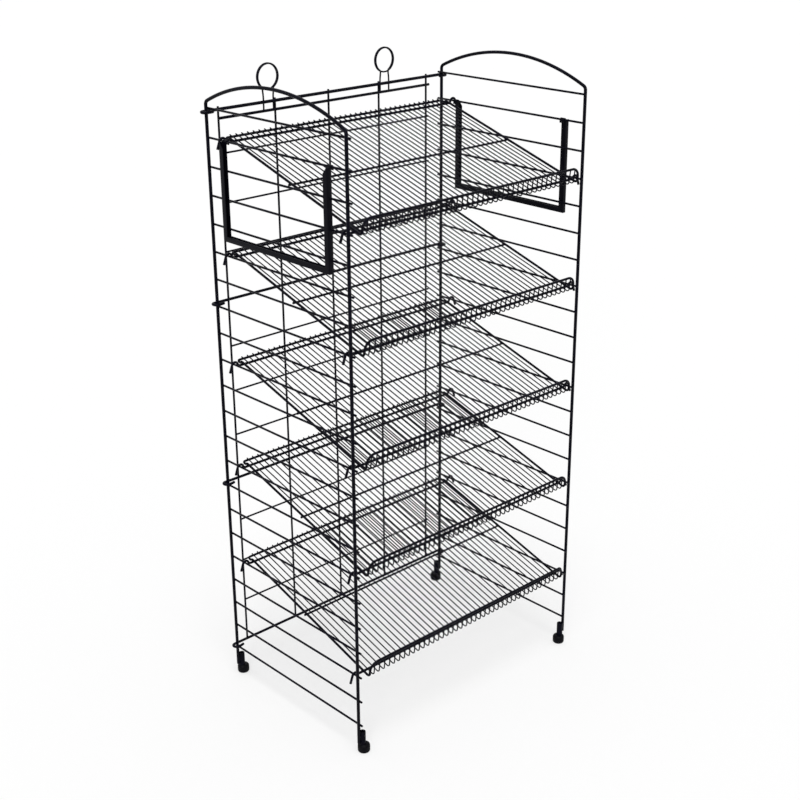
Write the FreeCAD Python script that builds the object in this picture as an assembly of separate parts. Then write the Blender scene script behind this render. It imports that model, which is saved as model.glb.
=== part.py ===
import FreeCAD, Part
import math
import os

# A five-shelf wire bread rack.  The origin lies on the floor, in the middle between the four
# uprights; X runs from the left side frame to the right one, Y from front to rear, Z up.
# All sizes are in millimetres.

Vector = FreeCAD.Vector
ACROSS = Vector(1, 0, 0)
REARWARD = Vector(0, 1, 0)
UP = Vector(0, 0, 1)

# Side frames: one bent rod each, with a ladder of rungs on its inner face.
FRAME_SPACING = 598.0          # between the centre lines of the two side frames
FRAME_DEPTH = 387.0            # between the centre lines of a front and a rear upright
UPRIGHT_ROD = 6.5
UPRIGHT_END_HEIGHT = 23.5      # lower end of an upright above the floor
ARCH_SHOULDER = 12.6           # the arch springs this far above the top rung
ARCH_RISE = 44.2
ARCH_CORNER_RADIUS = 9.0
RUNG_ROD = 4.2
RUNG_OVERHANG = 5.0            # of each rung past the centre lines of its uprights
RUNG_COUNT = 22
RUNG_PITCH = 54.0
LOWEST_RUNG_HEIGHT = 62.0
WELD_SINK = 0.3                # how far a welded wire melts into the one it crosses

# Feet: a tube welded beside each upright, pushed into a rubber foot.
TUBE_DIAMETER = 12.7
TUBE_WALL = 1.5
TUBE_TOP_HEIGHT = 46.5
FOOT_DIAMETER = 24.4
FOOT_HEIGHT = 17.8
FOOT_FLOOR = 4.0               # rubber left under the tube
FOOT_SHOULDER_RADIUS = 4.5
FOOT_HEEL_RADIUS = 4.0
FOOT_OFFSET = 3.0              # the foot stands this far further inward than its tube

# Back panel: hook bars across, thin wires between them and upright wires behind.
TOP_BAR_ROD = 6.3
HOOK_BAR_ROD = 5.6
TOP_BAR_DROP = 6.5             # below the top rung
LOWER_BAR_RUNGS = (8, 15, 22)  # each lower hook bar lies above one of these rungs
LOWER_BAR_RISE = 7.3
BAR_HOOK_OVERRUN = 1.8         # bend centre outside the upright's centre line
BAR_TO_UPRIGHT_GAP = 0.15
HOOK_RETURN_STRAIGHT = 3.8
HOOK_TIP_RADIUS = 30.0
HOOK_TIP_ANGLE = 19.0
SIGN_RAIL_ROD = 5.6
SIGN_RAIL_DROP = 23.2
CROSS_WIRE_ROD = 3.7
CROSS_WIRE_PITCH = 94.0
CROSS_WIRES_PER_BAY = 3
UPRIGHT_WIRE_ROD = 4.2
UPRIGHT_WIRE_COUNT = 5
UPRIGHT_WIRE_INSET = 34.5      # outermost upright wire from the side frame's centre line
UPRIGHT_WIRE_TOP_STICK = 4.5   # above the top bar's centre line
WIRE_END_OVERHANG = 4.0        # of rail and cross wires past the outermost upright wire

# Sign rings: a double coil of wire on two legs, behind the top of the back panel.
RING_WIRE = 3.3
RING_OUTER_DIAMETER = 51.0
RING_CENTRE_RISE = 39.2        # above the top rung
RING_LEG_SPACING = 23.4
RING_TO_WIRE_GAP = 0.2         # between the inner leg and the upright wire beside it
RING_LEG_TAIL = 2.5            # leg past the sign rail's centre line

# Shelves: five alike, each hung on one pair of rungs behind and one pair in front.
SHELF_COUNT = 5
FIRST_REAR_RUNG = 2
RUNGS_PER_SHELF = 4
FRONT_RUNG_STEP = 2            # the front hooks sit this many rungs lower
REAR_HOOK_INSET = 38.5         # rear hook rod in front of the rear uprights' centre lines
FRONT_HOOK_INSET = 13.2        # front hook rod behind the front ones'
REAR_HOOK_DROP = 4.2           # hook rod under the deck, below its rung's centre
FRONT_HOOK_DROP = 1.0
HOOK_ROD = 5.0
HOOK_CROWN_RADIUS = 7.0
HOOK_NECK_RADIUS = 6.6
HOOK_REST_GAP = 0.3            # between the crown and the rung under it
HOOK_TAIL_SPLAY = 20.0
HOOK_TAIL_LENGTH = 16.0
RIM_ROD = 4.8
RIM_INSET = 23.3               # rim side from the side frame's centre line
MID_ROD = 4.2
MID_ROD_OVERHANG = 0.6
DECK_WIRE = 2.5
DECK_WIRE_COUNT = 41
RIM_TO_FIRST_WIRE = 11.0
REAR_ROD_BEHIND_HOOK = 15.8    # rim's rear rod behind the rear hook rod, along the deck
REAR_CORNER_RADIUS = 5.0
RIM_STEP_RADIUS = 5.0
RIM_STEP_AFTER_HOOK = 1.0
DECK_WIRE_REAR_STICK = 3.0     # past the rear rod's centre line
LIP_AHEAD_OF_HOOK = 21.4       # foot of the lip in front of the front hook rod
LIP_HEIGHT = 29.2              # from the deck's side rods up to the lip's top rod
LIP_LEAN = 7.0                 # degrees forward of upright
RIM_BEND_RADIUS = 6.0
WIRE_BEND_RADIUS = 5.0
LIP_CORNER_RADIUS = 18.0

# Sign holders: a folded sheet channel, hung outside each side frame on its second rung.
HOLDER_RUNG = 2
HOLDER_WIDTH = 300.0
HOLDER_HEIGHT = 184.0
HOLDER_DEPTH = 10.0
HOLDER_SHEET = 1.2
HOLDER_FLANGE = 10.5
HOLDER_GAP = 0.3               # between the folded tab and the rung inside it
HOLDER_TAB_TAIL = 6.0
HOLDER_LEAD_IN_WIDTH = 9.0
HOLDER_LEAD_IN_HEIGHT = 11.0

# Worked out from the sizes above.
HALF_SPACING = FRAME_SPACING / 2
HALF_DEPTH = FRAME_DEPTH / 2
RUNG_PLACE = HALF_SPACING - UPRIGHT_ROD / 2 - RUNG_ROD / 2 + WELD_SINK
TUBE_PLACE = HALF_SPACING - UPRIGHT_ROD / 2 - TUBE_DIAMETER / 2 + WELD_SINK
BACK_PLANE = HALF_DEPTH + UPRIGHT_ROD / 2 + BAR_TO_UPRIGHT_GAP + TOP_BAR_ROD
REAR_HOOK_PLACE = HALF_DEPTH - REAR_HOOK_INSET
FRONT_HOOK_PLACE = FRONT_HOOK_INSET - HALF_DEPTH
UPRIGHT_WIRE_REACH = HALF_SPACING - UPRIGHT_WIRE_INSET
UPRIGHT_WIRE_PITCH = 2 * UPRIGHT_WIRE_REACH / (UPRIGHT_WIRE_COUNT - 1)


def rung_height(number):
    """Height of a rung's centre line, counted from 1 at the top."""
    return LOWEST_RUNG_HEIGHT + (RUNG_COUNT - number) * RUNG_PITCH


class WirePath:
    """The centre line of a wire, laid down as a wire bender works: straight feeds and bends."""

    def __init__(self, start, heading):
        self.point = start
        self.heading = heading
        self.first_heading = heading
        self.start = start
        self.edges = []

    def feed(self, length):
        end = self.point + self.heading * length
        self.edges.append(Part.LineSegment(self.point, end).toShape())
        self.point = end
        return self

    def bend(self, radius, degrees, axis):
        """Turns the heading right-handed about the axis, which is square to the heading."""
        side = axis.cross(self.heading) * math.copysign(1, degrees)
        centre = self.point + side * radius
        half_turn = FreeCAD.Rotation(axis, degrees / 2)
        full_turn = FreeCAD.Rotation(axis, degrees)
        arm = self.point - centre
        middle = centre + half_turn.multVec(arm)
        end = centre + full_turn.multVec(arm)
        self.edges.append(Part.Arc(self.point, middle, end).toShape())
        self.point = end
        self.heading = full_turn.multVec(self.heading)
        return self

    def rod(self, diameter):
        """The wire itself: a round section carried along the path."""
        section = Part.Wire(Part.makeCircle(diameter / 2, self.start, self.first_heading))
        return Part.Wire(self.edges).makePipeShell([section], True, False)


def straight_rod(diameter, start, end):
    run = end - start
    return Part.makeCylinder(diameter / 2, run.Length, start, run)


def mirrored(shape):
    """The same shape on the other side of the middle plane between the side frames."""
    return shape.mirror(Vector(0, 0, 0), ACROSS)


def both_halves(half):
    """A wire made of one half and its mirror image, joined where they meet in the middle."""
    return half.fuse(mirrored(half)).removeSplitter()


def export(name, shape):
    shape.exportStep("parts/" + name + ".step")


def right_frame_rod():
    """Both uprights and the arch over them, bent from one rod."""
    shoulder = rung_height(1) + ARCH_SHOULDER
    arch_radius = (HALF_DEPTH ** 2 + ARCH_RISE ** 2) / (2 * ARCH_RISE)
    arch_centre = shoulder + ARCH_RISE - arch_radius
    corner_reach = HALF_DEPTH - ARCH_CORNER_RADIUS
    corner_angle = math.degrees(math.acos(corner_reach / (arch_radius - ARCH_CORNER_RADIUS)))
    corner_height = arch_centre + (arch_radius - ARCH_CORNER_RADIUS) * math.sin(
        math.radians(corner_angle))
    path = WirePath(Vector(HALF_SPACING, -HALF_DEPTH, UPRIGHT_END_HEIGHT), UP)
    path.feed(corner_height - UPRIGHT_END_HEIGHT)
    path.bend(ARCH_CORNER_RADIUS, -corner_angle, ACROSS)
    path.bend(arch_radius, -(180 - 2 * corner_angle), ACROSS)
    path.bend(ARCH_CORNER_RADIUS, -corner_angle, ACROSS)
    path.feed(corner_height - UPRIGHT_END_HEIGHT)
    return path.rod(UPRIGHT_ROD)


def right_rungs():
    """Straight rungs, welded on the inner face of the uprights, with short ends past them."""
    reach = HALF_DEPTH + RUNG_OVERHANG
    rungs = []
    for number in range(1, RUNG_COUNT + 1):
        height = rung_height(number)
        front_end = Vector(RUNG_PLACE, -reach, height)
        rear_end = Vector(RUNG_PLACE, reach, height)
        rungs.append(straight_rod(RUNG_ROD, front_end, rear_end))
    return Part.makeCompound(rungs)


def socket_tube(place):
    """A short open tube, welded to the inner side of an upright."""
    length = TUBE_TOP_HEIGHT - FOOT_FLOOR
    foot = Vector(TUBE_PLACE, place, FOOT_FLOOR)
    outside = Part.makeCylinder(TUBE_DIAMETER / 2, length, foot)
    bore = Part.makeCylinder(TUBE_DIAMETER / 2 - TUBE_WALL, length, foot)
    return outside.cut(bore)


def rubber_foot(place):
    """A round rubber foot with a blind socket for the tube."""
    centre = Vector(TUBE_PLACE - FOOT_OFFSET, place, 0)
    body = Part.makeCylinder(FOOT_DIAMETER / 2, FOOT_HEIGHT, centre)
    top_edge = [edge for edge in body.Edges if edge.BoundBox.ZMin > FOOT_HEIGHT / 2]
    body = body.makeFillet(FOOT_SHOULDER_RADIUS, top_edge)
    heel_edge = [edge for edge in body.Edges if edge.BoundBox.ZMax < FOOT_HEEL_RADIUS / 2]
    body = body.makeFillet(FOOT_HEEL_RADIUS, heel_edge)
    socket = Part.makeCylinder(TUBE_DIAMETER / 2, FOOT_HEIGHT, Vector(TUBE_PLACE, place, FOOT_FLOOR))
    return body.cut(socket)


def hook_bar(diameter, height):
    """A bar across the back whose ends are bent round the rear uprights."""
    place = BACK_PLANE - diameter / 2
    path = WirePath(Vector(0, place, height), ACROSS)
    path.feed(HALF_SPACING + BAR_HOOK_OVERRUN)
    path.bend(place - HALF_DEPTH, -180, UP)
    path.feed(HOOK_RETURN_STRAIGHT)
    path.bend(HOOK_TIP_RADIUS, -HOOK_TIP_ANGLE, UP)
    return both_halves(path.rod(diameter))


def cross_rod(diameter, height):
    """A straight wire across the back, in front of the upright wires."""
    reach = UPRIGHT_WIRE_REACH + WIRE_END_OVERHANG
    place = BACK_PLANE - diameter / 2
    return straight_rod(diameter, Vector(-reach, place, height), Vector(reach, place, height))


def cross_wires():
    """Thin wires in the bays between the hook bars, spaced up from each bar."""
    wires = []
    for rung in LOWER_BAR_RUNGS:
        for step in range(1, CROSS_WIRES_PER_BAY + 1):
            height = lower_bar_height(rung) + step * CROSS_WIRE_PITCH
            wires.append(cross_rod(CROSS_WIRE_ROD, height))
    return Part.makeCompound(wires)


def lower_bar_height(rung):
    return rung_height(rung) + LOWER_BAR_RISE


def top_bar_height():
    return rung_height(1) - TOP_BAR_DROP


def upright_wires():
    """Long wires behind the cross wires, from above the top bar down to the lowest bar."""
    place = BACK_PLANE + UPRIGHT_WIRE_ROD / 2 - WELD_SINK
    top = top_bar_height() + UPRIGHT_WIRE_TOP_STICK
    bottom = lower_bar_height(LOWER_BAR_RUNGS[-1]) - HOOK_BAR_ROD / 2
    wires = []
    for number in range(UPRIGHT_WIRE_COUNT):
        across = -UPRIGHT_WIRE_REACH + number * UPRIGHT_WIRE_PITCH
        wires.append(straight_rod(
            UPRIGHT_WIRE_ROD, Vector(across, place, bottom), Vector(across, place, top)))
    return Part.makeCompound(wires)


def right_sign_ring():
    """Two turns of wire side by side, on two legs welded behind the top bar and the sign rail."""
    inner_leg = (UPRIGHT_WIRE_PITCH + UPRIGHT_WIRE_ROD / 2 + RING_TO_WIRE_GAP + RING_WIRE / 2)
    middle = inner_leg + RING_LEG_SPACING / 2
    leg_place = BACK_PLANE + RING_WIRE / 2 - WELD_SINK
    turn_radius = (RING_OUTER_DIAMETER - RING_WIRE) / 2
    ring_height = rung_height(1) + RING_CENTRE_RISE
    leg_rise = math.sqrt(turn_radius ** 2 - (RING_LEG_SPACING / 2) ** 2)
    leg_foot = rung_height(1) - SIGN_RAIL_DROP - RING_LEG_TAIL
    ring = None
    for turn in range(2):
        place = leg_place + (turn - 0.5) * (RING_WIRE - WELD_SINK)
        coil = Part.makeTorus(turn_radius, RING_WIRE / 2, Vector(middle, place, ring_height), REARWARD)
        ring = coil if ring is None else ring.fuse(coil)
    for side in (-1, 1):
        across = middle + side * RING_LEG_SPACING / 2
        leg = straight_rod(RING_WIRE, Vector(across, leg_place, leg_foot),
                           Vector(across, leg_place, ring_height - leg_rise))
        ring = ring.fuse(leg)
    return ring


class Shelf:
    """One wire shelf.  It is made lying flat, with its front hook rod's axis along X through the
    origin and the deck behind it, then tilted and lifted to its rungs."""

    def __init__(self, number):
        rear_rung = FIRST_REAR_RUNG + number * RUNGS_PER_SHELF
        self.rear_rung_height = rung_height(rear_rung)
        self.front_rung_height = rung_height(rear_rung + FRONT_RUNG_STEP)
        run = REAR_HOOK_PLACE - FRONT_HOOK_PLACE
        self.front_level = self.front_rung_height - FRONT_HOOK_DROP
        rise = self.rear_rung_height - REAR_HOOK_DROP - self.front_level
        self.slope = math.degrees(math.atan2(rise, run))
        self.hook_spacing = math.hypot(run, rise)
        self.support_top = HOOK_ROD / 2
        self.wire_level = self.support_top - WELD_SINK + DECK_WIRE / 2
        self.side_level = self.support_top - WELD_SINK + RIM_ROD / 2
        self.rear_level = self.support_top - RIM_ROD / 2
        self.rim_reach = HALF_SPACING - RIM_INSET
        self.rear_rod_place = self.hook_spacing + REAR_ROD_BEHIND_HOOK
        self.lip_turn = 90 + self.slope - LIP_LEAN

    def hung(self, shape):
        """Tilts the flat shelf's piece to the deck's slope and lifts it to the front hooks."""
        tilt = FreeCAD.Rotation(ACROSS, self.slope)
        place = Vector(0, FRONT_HOOK_PLACE, self.front_level)
        return shape.transformed(FreeCAD.Placement(place, tilt).toMatrix())

    def bend_start(self, level, radius):
        """Where the bend into the lip begins on a wire at this level of the flat deck."""
        lean = self.lip_turn - 90
        foot = -LIP_AHEAD_OF_HOOK + level * math.tan(math.radians(lean))
        return foot + radius * math.tan(math.radians(self.lip_turn / 2))

    def rim_rod(self):
        """The closed outline: rear rod, side rods stepped up over the hook rods, and the lip."""
        rise = self.side_level - self.rear_level
        step_angle = math.degrees(math.acos(1 - rise / (2 * RIM_STEP_RADIUS)))
        step_length = 2 * RIM_STEP_RADIUS * math.sin(math.radians(step_angle))
        step_start = self.hook_spacing + RIM_STEP_AFTER_HOOK + step_length
        bend_start = self.bend_start(self.side_level, RIM_BEND_RADIUS)
        lip_cut = RIM_BEND_RADIUS * math.tan(math.radians(self.lip_turn / 2))
        path = WirePath(Vector(0, self.rear_rod_place, self.rear_level), ACROSS)
        path.feed(self.rim_reach - REAR_CORNER_RADIUS)
        path.bend(REAR_CORNER_RADIUS, -90, UP)
        path.feed(self.rear_rod_place - REAR_CORNER_RADIUS - step_start)
        path.bend(RIM_STEP_RADIUS, -step_angle, ACROSS)
        path.bend(RIM_STEP_RADIUS, step_angle, ACROSS)
        path.feed(step_start - step_length - bend_start)
        path.bend(RIM_BEND_RADIUS, -self.lip_turn, ACROSS)
        path.feed(LIP_HEIGHT - lip_cut - LIP_CORNER_RADIUS)
        lip_normal = ACROSS.cross(path.heading)
        path.bend(LIP_CORNER_RADIUS, 90, lip_normal)
        path.feed(self.rim_reach - LIP_CORNER_RADIUS)
        return self.hung(both_halves(path.rod(RIM_ROD)))

    def wire_places(self):
        reach = self.rim_reach - RIM_TO_FIRST_WIRE
        pitch = 2 * reach / (DECK_WIRE_COUNT - 1)
        return [-reach + number * pitch for number in range(DECK_WIRE_COUNT)]

    def deck_wires(self):
        """The flat run of every wire, lying on the hook rods, the mid rod and the rear rod."""
        rear_end = self.rear_rod_place + DECK_WIRE_REAR_STICK
        front_end = self.bend_start(self.wire_level, WIRE_BEND_RADIUS)
        wires = [straight_rod(DECK_WIRE, Vector(across, rear_end, self.wire_level),
                              Vector(across, front_end, self.wire_level))
                 for across in self.wire_places()]
        return self.hung(Part.makeCompound(wires))

    def lip_wires(self):
        """The front run of every wire: the bend and the upright part under the lip's top rod."""
        level_step = (self.side_level - self.wire_level) / math.cos(math.radians(self.lip_turn - 90))
        lip_cut = WIRE_BEND_RADIUS * math.tan(math.radians(self.lip_turn / 2))
        rise = LIP_HEIGHT + level_step - lip_cut - RIM_ROD / 2 + WELD_SINK
        front_end = self.bend_start(self.wire_level, WIRE_BEND_RADIUS)
        wires = []
        for across in self.wire_places():
            path = WirePath(Vector(across, front_end, self.wire_level), -REARWARD)
            path.bend(WIRE_BEND_RADIUS, -self.lip_turn, ACROSS)
            path.feed(rise)
            wires.append(path.rod(DECK_WIRE))
        return self.hung(Part.makeCompound(wires))

    def mid_rod(self):
        """A straight rod under the middle of the deck, welded below both side rods."""
        level = self.support_top - MID_ROD / 2
        place = self.hook_spacing / 2
        reach = self.rim_reach + RIM_ROD / 2 + MID_ROD_OVERHANG
        rod = straight_rod(MID_ROD, Vector(-reach, place, level), Vector(reach, place, level))
        return self.hung(rod)


def hook_rod(place, rung_centre, drop):
    """A rod under the deck whose ends rise over the rungs and turn down outside them."""
    crown_rise = RUNG_ROD / 2 + HOOK_REST_GAP + HOOK_ROD / 2
    neck_drop = crown_rise + drop
    neck_angle = math.degrees(math.acos(1 - neck_drop / (HOOK_CROWN_RADIUS + HOOK_NECK_RADIUS)))
    tail_turn = 90 - HOOK_TAIL_SPLAY
    crown_centre = Vector(RUNG_PLACE, place, rung_centre + crown_rise - HOOK_CROWN_RADIUS)
    shoulder = crown_centre + FreeCAD.Rotation(REARWARD, tail_turn).multVec(UP) * HOOK_CROWN_RADIUS
    tail_down = FreeCAD.Rotation(REARWARD, tail_turn).multVec(ACROSS)
    path = WirePath(shoulder + tail_down * HOOK_TAIL_LENGTH, -tail_down)
    path.feed(HOOK_TAIL_LENGTH)
    path.bend(HOOK_CROWN_RADIUS, -(tail_turn + neck_angle), REARWARD)
    path.bend(HOOK_NECK_RADIUS, neck_angle, REARWARD)
    path.feed(path.point.x)
    return both_halves(path.rod(HOOK_ROD))


def right_sign_holder():
    """A U-shaped channel of folded sheet, open at the top, with two tabs folded over the rung."""
    rung = rung_height(HOLDER_RUNG)
    tab_inside = RUNG_ROD / 2 + HOLDER_GAP
    near_face = RUNG_PLACE + tab_inside
    bottom = rung - HOLDER_HEIGHT
    half = HOLDER_WIDTH / 2
    body = Part.makeBox(HOLDER_DEPTH, HOLDER_WIDTH, HOLDER_HEIGHT, Vector(near_face, -half, bottom))
    slot = Part.makeBox(
        HOLDER_DEPTH - 2 * HOLDER_SHEET, HOLDER_WIDTH - 2 * HOLDER_SHEET, HOLDER_HEIGHT,
        Vector(near_face + HOLDER_SHEET, HOLDER_SHEET - half, bottom + HOLDER_SHEET))
    window = Part.makeBox(
        HOLDER_DEPTH, HOLDER_WIDTH - 2 * HOLDER_FLANGE, HOLDER_HEIGHT,
        Vector(near_face, HOLDER_FLANGE - half, bottom + HOLDER_FLANGE))
    holder = body.cut(slot).cut(window)
    flange_edge = half - HOLDER_FLANGE
    outer_sheet = near_face + HOLDER_DEPTH - HOLDER_SHEET
    for side in (-1, 1):
        corner = Vector(outer_sheet, side * flange_edge, rung)
        along = Vector(outer_sheet, side * (flange_edge + HOLDER_LEAD_IN_WIDTH), rung)
        below = Vector(outer_sheet, side * flange_edge, rung - HOLDER_LEAD_IN_HEIGHT)
        lead_in = Part.Face(Part.makePolygon([corner, along, below, corner]))
        holder = holder.cut(lead_in.extrude(ACROSS * HOLDER_SHEET))
        tab_start = flange_edge if side > 0 else -half
        holder = holder.fuse(holder_tab(tab_start, rung, tab_inside))
    return holder.removeSplitter()


def holder_tab(start, rung, inside):
    """A strip as wide as the flange, folded over the rung and a little way down behind it."""
    outside = inside + HOLDER_SHEET
    centre = Vector(RUNG_PLACE, start, rung)
    ring = Part.makeCylinder(outside, HOLDER_FLANGE, centre, REARWARD).cut(
        Part.makeCylinder(inside, HOLDER_FLANGE, centre, REARWARD))
    upper_half = Part.makeBox(2 * outside, HOLDER_FLANGE, outside,
                              Vector(RUNG_PLACE - outside, start, rung))
    tail = Part.makeBox(HOLDER_SHEET, HOLDER_FLANGE, HOLDER_TAB_TAIL,
                        Vector(RUNG_PLACE - outside, start, rung - HOLDER_TAB_TAIL))
    return ring.common(upper_half).fuse(tail)


def export_pair(name, right_shape):
    """Writes the right-hand piece and its mirror image on the left."""
    export("right_" + name, right_shape)
    export("left_" + name, mirrored(right_shape))


def main():
    os.makedirs("parts", exist_ok=True)
    export_pair("frame_rod", right_frame_rod())
    export_pair("rungs", right_rungs())
    for end, place in (("front", -HALF_DEPTH), ("rear", HALF_DEPTH)):
        tube = socket_tube(place)
        foot = rubber_foot(place)
        for side, shape in (("right", tube), ("left", mirrored(tube))):
            export(end + "_" + side + "_socket_tube", shape)
        for side, shape in (("right", foot), ("left", mirrored(foot))):
            export(end + "_" + side + "_rubber_foot", shape)

    export("back_hook_bar_1", hook_bar(TOP_BAR_ROD, top_bar_height()))
    for number, rung in enumerate(LOWER_BAR_RUNGS, start=2):
        export("back_hook_bar_" + str(number), hook_bar(HOOK_BAR_ROD, lower_bar_height(rung)))
    export("back_sign_rail", cross_rod(SIGN_RAIL_ROD, rung_height(1) - SIGN_RAIL_DROP))
    export("back_cross_wires", cross_wires())
    export("back_upright_wires", upright_wires())
    export_pair("sign_ring", right_sign_ring())

    for number in range(SHELF_COUNT):
        shelf = Shelf(number)
        name = "shelf_" + str(number + 1)
        export(name + "_rim_rod", shelf.rim_rod())
        export(name + "_mid_rod", shelf.mid_rod())
        export(name + "_deck_wires", shelf.deck_wires())
        export(name + "_lip_wires", shelf.lip_wires())
        export(name + "_rear_hook_rod",
               hook_rod(REAR_HOOK_PLACE, shelf.rear_rung_height, REAR_HOOK_DROP))
        export(name + "_front_hook_rod",
               hook_rod(FRONT_HOOK_PLACE, shelf.front_rung_height, FRONT_HOOK_DROP))

    export_pair("sign_holder", right_sign_holder())


main()
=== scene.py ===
import math

import bpy
import numpy as np
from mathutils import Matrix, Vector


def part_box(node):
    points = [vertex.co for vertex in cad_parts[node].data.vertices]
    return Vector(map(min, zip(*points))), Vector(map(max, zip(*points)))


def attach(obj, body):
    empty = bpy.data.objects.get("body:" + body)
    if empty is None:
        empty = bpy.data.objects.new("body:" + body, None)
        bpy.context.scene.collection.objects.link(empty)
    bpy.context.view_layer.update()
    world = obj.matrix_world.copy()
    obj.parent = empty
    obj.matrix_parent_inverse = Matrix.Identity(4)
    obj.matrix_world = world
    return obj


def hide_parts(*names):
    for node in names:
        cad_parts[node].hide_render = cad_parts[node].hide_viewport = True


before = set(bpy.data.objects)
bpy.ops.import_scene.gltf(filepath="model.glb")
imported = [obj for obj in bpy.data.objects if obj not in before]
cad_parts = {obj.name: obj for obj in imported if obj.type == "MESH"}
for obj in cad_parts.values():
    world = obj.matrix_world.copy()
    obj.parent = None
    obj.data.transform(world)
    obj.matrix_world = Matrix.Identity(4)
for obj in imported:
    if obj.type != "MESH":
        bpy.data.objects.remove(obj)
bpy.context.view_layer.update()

# ==============================================================================================
# SIDE FRAME RODS
# Each side frame is one steel rod of a quarter inch, bent cold into two uprights with a bowed
# arch over them.  Everything of wire on the rack is dipped and baked in the same black coat.
# ==============================================================================================

UPRIGHT_ROD = 0.0065
ARCH_RISE = 0.0442
ARCH_CORNER_RADIUS = 0.009
BEND_SAGITTA = 0.00003         # how far a bend's flats may stand inside its true arc
ROD_SIDES = 16
CUT_EDGE_ROUND = 0.0004        # the coat rounds the edge of a sheared end
SHARP_EDGE = math.radians(50)
COAT_BLACK = (0.0014, 0.0014, 0.0046, 1)
COAT_CLOUD = (0.0032, 0.0032, 0.0088, 1)
# paler grey for dust specks and for the upward faces, which is partly dust and partly a painted
# highlight
DUST_AND_HIGHLIGHT_GREY = (0.16, 0.155, 0.15, 1)
COAT_SPECULAR = 0.05
COAT_PEEL_DEPTH = 0.00005

ACROSS = np.array([1.0, 0.0, 0.0])
REARWARD = np.array([0.0, 1.0, 0.0])
UP = np.array([0.0, 0.0, 1.0])
SLANT = np.array([0.577, 0.577, 0.578])     # a direction that no wire of the rack follows

MIX_FIRST, MIX_SECOND, MIX_COLOUR = 6, 7, 2     # a Mix node's colour inputs, and its output


def unit(vectors):
    """Each vector divided by its length."""
    return vectors / np.linalg.norm(vectors, axis=-1, keepdims=True)


class BentWire:
    """The centre line of a wire, laid down as on a bender: straight feeds and bends."""

    def __init__(self, start, heading):
        self.stretches = [np.array([start], float)]
        self.heading = np.array(heading, float)

    def feed(self, length):
        self.stretches.append(self.stretches[-1][-1:] + length * self.heading)
        return self

    def bend(self, radius, degrees, axis, flats=None):
        """An arc: centre + cos t * arm + sin t * (axis x arm), for t from nought to the turn."""
        turn = math.radians(degrees)
        step = 2 * math.acos(1 - BEND_SAGITTA / radius)
        count = flats or max(2, math.ceil(abs(turn) / step))
        arm = -math.copysign(radius, turn) * np.cross(axis, self.heading)
        centre = self.stretches[-1][-1] - arm
        t = turn * np.arange(1, count + 1)[:, None] / count
        self.stretches.append(centre + np.cos(t) * arm + np.sin(t) * np.cross(axis, arm))
        self.heading = math.cos(turn) * self.heading + math.sin(turn) * np.cross(axis, self.heading)
        return self

    def line(self):
        return np.concatenate(self.stretches)


def tube_faces(rings, sides, closed):
    """Four-cornered faces between neighbouring rings, whose corners are numbered ring by ring."""
    ring, side = np.meshgrid(np.arange(rings if closed else rings - 1), np.arange(sides), indexing="ij")
    next_ring = (ring + 1) % rings
    next_side = (side + 1) % sides
    faces = [ring * sides + side, next_ring * sides + side,
             next_ring * sides + next_side, ring * sides + next_side]
    return np.stack(faces, axis=-1).reshape(-1, 4)


def rod(line, diameter, sides=ROD_SIDES):
    """A round rod with rounded ends.  Its corner i, j is line_i + r_i (cos a_j e_i + sin a_j f_i),
    with e_i square to the line and to the slant, and f_i square to both.  From a cut end the
    radius grows as R - c (1 - sin b) over the length c (1 - cos b)."""
    tangents = unit(np.diff(line, axis=0))
    tangents = unit(np.concatenate([tangents[:1], tangents[:-1] + tangents[1:], tangents[-1:]]))
    b = np.array([0, 0.25, 0.5])[:, None] * math.pi
    inward = CUT_EDGE_ROUND * (1 - np.cos(b))
    line = np.concatenate([line[:1] + inward * tangents[:1], line[1:-1],
                           (line[-1:] - inward * tangents[-1:])[::-1]])
    tangents = np.concatenate([tangents[[0, 0]], tangents, tangents[[-1, -1]]])
    radii = np.full((len(line), 1, 1), diameter / 2)
    radii[:3, 0] -= CUT_EDGE_ROUND * (1 - np.sin(b))
    radii[-3:, 0] -= CUT_EDGE_ROUND * (1 - np.sin(b[::-1]))
    corners = ringed(line, tangents, radii, sides)
    start_cap = np.arange(sides)[None]
    end_cap = len(corners) - 1 - np.arange(sides)[None]
    return corners, [tube_faces(len(line), sides, False), start_cap, end_cap]


def ringed(line, tangents, radii, sides):
    """The corners of round rings square to the line, one ring at each of its points."""
    e = unit(np.cross(tangents, SLANT))[:, None]
    f = np.cross(e, tangents[:, None])
    a = (2 * math.pi * np.arange(sides) / sides)[None, :, None]
    return (line[:, None] + radii * (np.cos(a) * e + np.sin(a) * f)).reshape(-1, 3)


def mirrored(surface):
    """The surface on the other side of the middle plane, with its faces turned outwards again."""
    corners, faces = surface
    return corners * (-1, 1, 1), [block[:, ::-1] for block in faces]


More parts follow.
